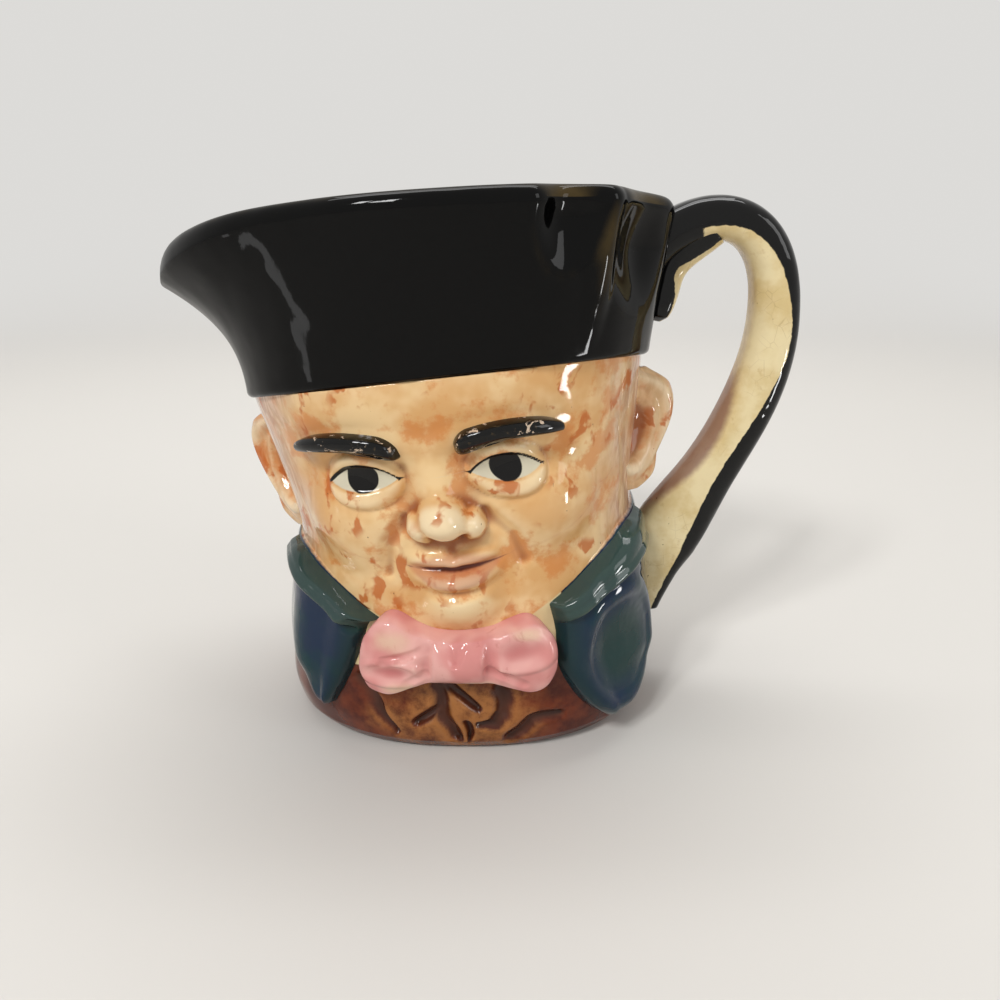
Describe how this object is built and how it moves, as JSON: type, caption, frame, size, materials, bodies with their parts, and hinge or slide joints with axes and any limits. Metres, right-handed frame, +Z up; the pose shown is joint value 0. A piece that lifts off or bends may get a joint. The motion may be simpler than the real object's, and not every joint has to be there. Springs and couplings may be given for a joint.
{
  "type": "toby mug",
  "caption": "Glazed earthenware mug cast as a head in a black hat and blue coat, with a spout in the hat's brim, a strap handle and moulded relief.",
  "frame": {"origin": "on the table, under the middle of the mug's overall length and depth", "axes": "+X towards the handle, -Y the way the face looks, +Z up"},
  "size_m": [0.1222, 0.0816, 0.1025],
  "materials": {
    "jug_glaze": "glossy",
    "skin_glaze": "glossy",
    "black_glaze": "glossy",
    "coat_glaze": "glossy",
    "pink_glaze": "glossy",
    "handle_glaze": "glossy"
  },
  "bodies": {
    "root": {"jug_body": "jug_glaze", "handle": "handle_glaze", "left_ear": "skin_glaze", "right_ear": "skin_glaze", "left_brow": "black_glaze", "right_brow": "black_glaze", "bow_tie": "pink_glaze", "left_lapel": "coat_glaze", "right_lapel": "coat_glaze"}
  },
  "joints": []
}
